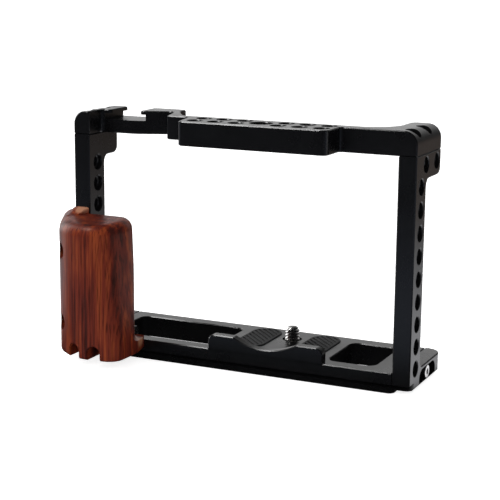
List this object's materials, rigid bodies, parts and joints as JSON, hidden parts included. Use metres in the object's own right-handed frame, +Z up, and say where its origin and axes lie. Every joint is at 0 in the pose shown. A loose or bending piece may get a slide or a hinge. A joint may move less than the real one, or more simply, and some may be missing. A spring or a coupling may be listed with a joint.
{
  "type": "camera cage",
  "caption": "Milled aluminium cage around a camera, with threaded holes, cold shoe, tripod dovetail base, captive camera screw and carved wooden side grip.",
  "frame": {"origin": "centre of the base plate's underside, midway between the two posts", "axes": "+X to the right seen from the lens side, along the base; +Y from the lens side to the back; +Z up"},
  "size_m": [0.1659, 0.0704, 0.1073],
  "materials": {
    "black_anodised": "matte black anodised, fine blasted grain",
    "rosewood": "oiled satin, grain upright",
    "black_rubber": "matte",
    "bright_steel": "bright stainless",
    "spring_steel": "oiled spring steel",
    "black_steel": "black oxide",
    "nylon": "natural nylon"
  },
  "bodies": {
    "cage": {"base_plate": "black_anodised", "right_post": "black_anodised", "left_post": "black_anodised", "top_bar": "black_anodised", "wood_grip": "rosewood", "left_pad": "black_rubber", "right_pad": "black_rubber", "retaining_ring": "spring_steel", "left_front_bar_screw": "black_steel", "left_back_bar_screw": "black_steel", "right_front_bar_screw": "black_steel", "right_back_bar_screw": "black_steel", "left_foot_screw": "bright_steel", "right_foot_screw": "bright_steel", "left_dowels": "spring_steel", "right_dowels": "spring_steel", "upper_grip_screw": "black_steel", "lower_grip_screw": "black_steel", "upper_grip_washer": "black_steel", "lower_grip_washer": "black_steel"},
    "screw_washer": {"thrust_washer": "nylon"},
    "camera_screw": {"camera_screw": "bright_steel"}
  },
  "joints": [
    {"name": "screw_drop", "type": "slide", "parent": "cage", "child": "screw_washer", "axis": [0, 0, -1], "range_m": [0, 0.002]},
    {"name": "screw_turn", "type": "hinge", "parent": "screw_washer", "child": "camera_screw", "pos_m": [0.0136, 0.0085, 0.01], "axis": [0, 0, 1], "continuous": true}
  ]
}
